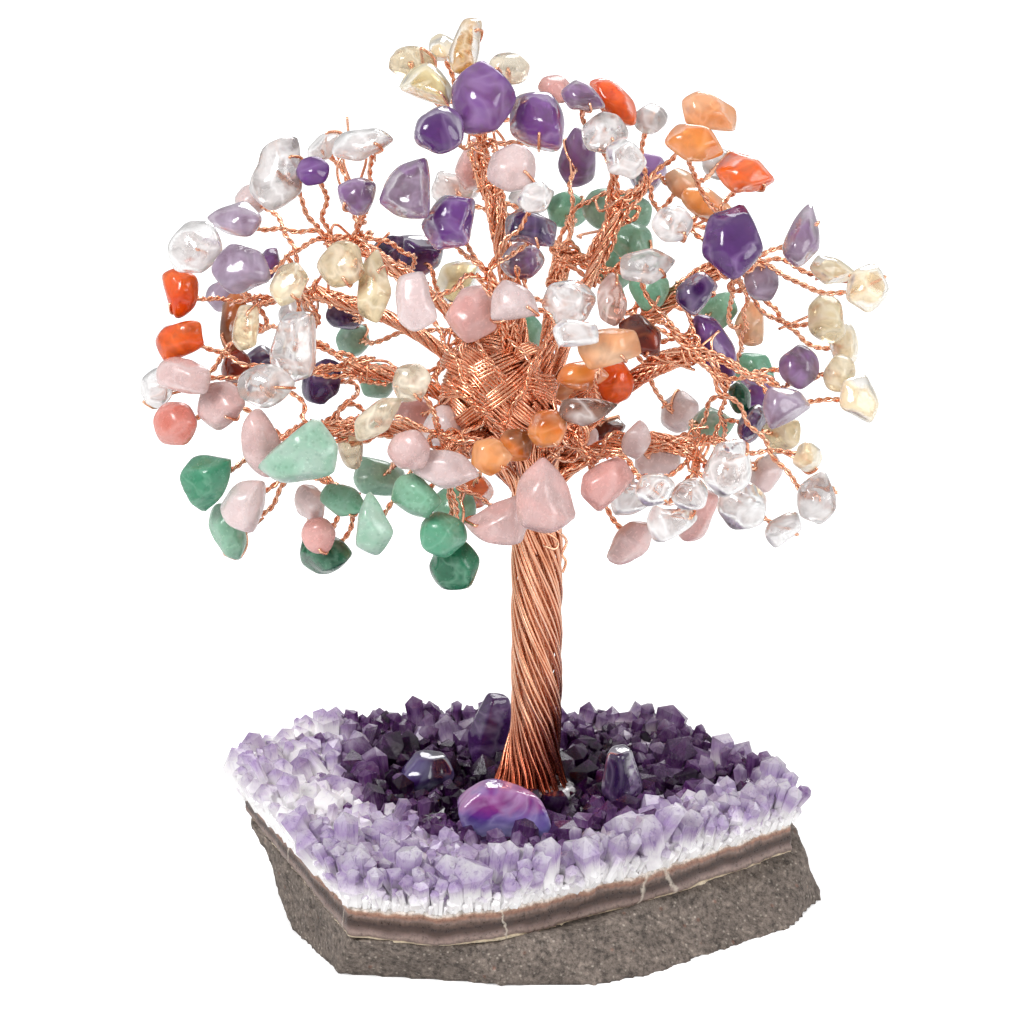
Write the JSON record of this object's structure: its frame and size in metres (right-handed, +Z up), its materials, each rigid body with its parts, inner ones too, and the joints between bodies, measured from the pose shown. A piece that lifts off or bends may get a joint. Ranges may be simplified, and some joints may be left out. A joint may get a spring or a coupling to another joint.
{
  "type": "gemstone tree ornament",
  "caption": "Gemstone tree ornament: a twisted copper wire trunk and branches carrying drilled tumbled stone chips, standing on a piece of amethyst crystal rock.",
  "frame": {"origin": "on the underside of the rock, straight below the axis of the wire trunk", "axes": "+Z up along the trunk, +X to the viewer's right and -Y towards the viewer of the pictured front"},
  "size_m": [0.1141, 0.0751, 0.1429],
  "materials": {
    "copper_wire": "bright copper craft wire",
    "amethyst": "tumbled and polished violet stone",
    "rose_quartz": "tumbled and polished pink stone",
    "clear_quartz": "tumbled and polished clear stone",
    "citrine": "tumbled and polished pale yellow stone",
    "aventurine": "tumbled and polished green stone",
    "carnelian": "tumbled and polished red orange stone",
    "agate": "tumbled and polished orange banded stone",
    "basalt": "rough dull dark volcanic rock",
    "banded_agate": "sawn and broken layered grey brown stone",
    "milky_quartz": "white crystal roots",
    "amethyst_druse": "glossy natural violet crystal points",
    "clear_glue": "clear set glue"
  },
  "bodies": {
    "root": {"agate_band": "banded_agate", "agate_left": "agate", "agate_right": "agate", "amethyst_crystals": "amethyst_druse", "amethyst_left": "amethyst", "amethyst_middle": "amethyst", "amethyst_right": "amethyst", "aventurine_left": "aventurine", "aventurine_middle": "aventurine", "aventurine_right": "aventurine", "basalt_matrix": "basalt", "carnelian_left": "carnelian", "carnelian_right": "carnelian", "citrine_left": "citrine", "citrine_middle": "citrine", "citrine_right": "citrine", "clear_quartz_left": "clear_quartz", "clear_quartz_middle": "clear_quartz", "clear_quartz_right": "clear_quartz", "foot_stone_back": "amethyst", "foot_stone_front": "amethyst", "foot_stone_left": "amethyst", "foot_stone_right": "amethyst", "glue_seat": "clear_glue", "limb_back": "copper_wire", "limb_front": "copper_wire", "limb_front_left": "copper_wire", "limb_front_right": "copper_wire", "limb_left": "copper_wire", "limb_left_lower": "copper_wire", "limb_left_middle": "copper_wire", "limb_right": "copper_wire", "limb_right_lower": "copper_wire", "limb_right_upper": "copper_wire", "limb_top": "copper_wire", "limb_top_back": "copper_wire", "limb_top_left": "copper_wire", "limb_top_right": "copper_wire", "quartz_bed": "milky_quartz", "rose_quartz_left": "rose_quartz", "rose_quartz_middle": "rose_quartz", "rose_quartz_right": "rose_quartz", "sprays_back": "copper_wire", "sprays_front": "copper_wire", "sprays_front_left": "copper_wire", "sprays_front_right": "copper_wire", "sprays_left": "copper_wire", "sprays_left_lower": "copper_wire", "sprays_left_middle": "copper_wire", "sprays_right": "copper_wire", "sprays_right_lower": "copper_wire", "sprays_right_upper": "copper_wire", "sprays_top": "copper_wire", "sprays_top_back": "copper_wire", "sprays_top_left": "copper_wire", "sprays_top_right": "copper_wire"}
  },
  "joints": []
}
